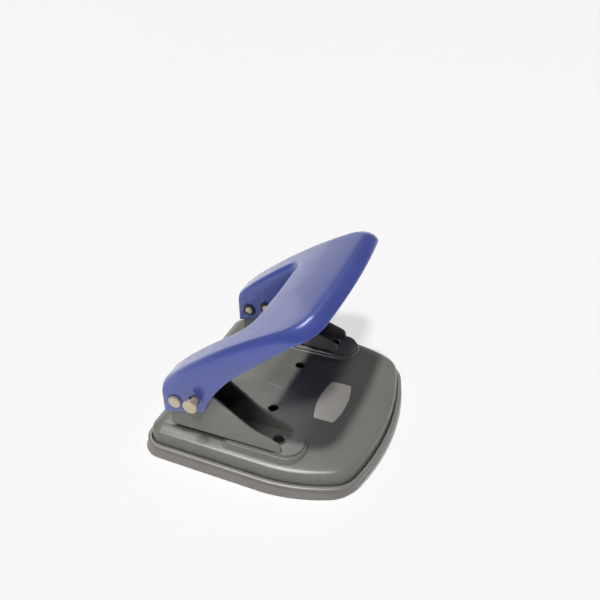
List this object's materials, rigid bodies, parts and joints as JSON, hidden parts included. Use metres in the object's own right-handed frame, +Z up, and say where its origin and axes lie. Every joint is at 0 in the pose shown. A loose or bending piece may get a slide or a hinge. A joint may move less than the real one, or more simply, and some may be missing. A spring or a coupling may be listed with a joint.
{
  "type": "desk paper punch",
  "caption": "Desk punch for paper: a wide pressed lever hinged on channel brackets drives sprung punches through the base, with a clip-on chip tray below.",
  "frame": {"origin": "bottom centre of the box round the punch, on the desk under the chip tray", "axes": "+Z up, +Y towards the paper and hinge side, -Y towards the hand, +X from the left bracket to the right"},
  "size_m": [0.113, 0.1128, 0.0901],
  "materials": {
    "base_lacquer": "satin grey metallic lacquer",
    "tray_plastic": "moulded brown-grey plastic, fine grain",
    "label_metal": "satin, blank",
    "lever_lacquer": "satin violet-blue metallic lacquer",
    "bracket_lacquer": "satin warm grey lacquer",
    "eyelet_steel": "darkened steel",
    "pin_plating": "pale yellow zinc plating",
    "ring_black": "black oxide",
    "punch_steel": "ground and hardened",
    "spring_steel": "bright drawn wire"
  },
  "bodies": {
    "base": {"base_plate": "base_lacquer", "label_plate": "label_metal", "left_bracket": "bracket_lacquer", "left_front_eyelet": "eyelet_steel", "left_rear_eyelet": "eyelet_steel", "left_return_spring": "spring_steel", "right_bracket": "bracket_lacquer", "right_front_eyelet": "eyelet_steel", "right_rear_eyelet": "eyelet_steel", "right_return_spring": "spring_steel"},
    "chip_tray": {"chip_tray": "tray_plastic"},
    "lever": {"lever": "lever_lacquer", "left_pivot_pin": "pin_plating", "left_pivot_ring": "ring_black", "right_pivot_pin": "pin_plating", "right_pivot_ring": "ring_black"},
    "left_punch": {"left_punch_rod": "punch_steel", "left_drive_pin": "pin_plating", "left_drive_ring": "ring_black"},
    "right_punch": {"right_punch_rod": "punch_steel", "right_drive_pin": "pin_plating", "right_drive_ring": "ring_black"}
  },
  "joints": [
    {"name": "lever_hinge", "type": "hinge", "parent": "base", "child": "lever", "pos_m": [0, 0.0352, 0.0345], "axis": [1, 0, 0], "range_deg": [0, 32], "stiffness_Nm_per_rad": 0.5, "springref_deg": -34.38},
    {"name": "chip_tray_slide", "type": "slide", "parent": "base", "child": "chip_tray", "axis": [0, 0, -1], "range_m": [0, 0.012]},
    {"name": "left_punch_slide", "type": "slide", "parent": "base", "child": "left_punch", "axis": [0, 0, -1], "range_m": [0, 0.006], "deforming": ["left_return_spring"]},
    {"name": "right_punch_slide", "type": "slide", "parent": "base", "child": "right_punch", "axis": [0, 0, -1], "range_m": [0, 0.006], "deforming": ["right_return_spring"]}
  ],
  "couplings": [
    {"joint": "left_punch_slide", "follows": "lever_hinge", "m_per_rad": 0.01074},
    {"joint": "right_punch_slide", "follows": "lever_hinge", "m_per_rad": 0.01074}
  ]
}
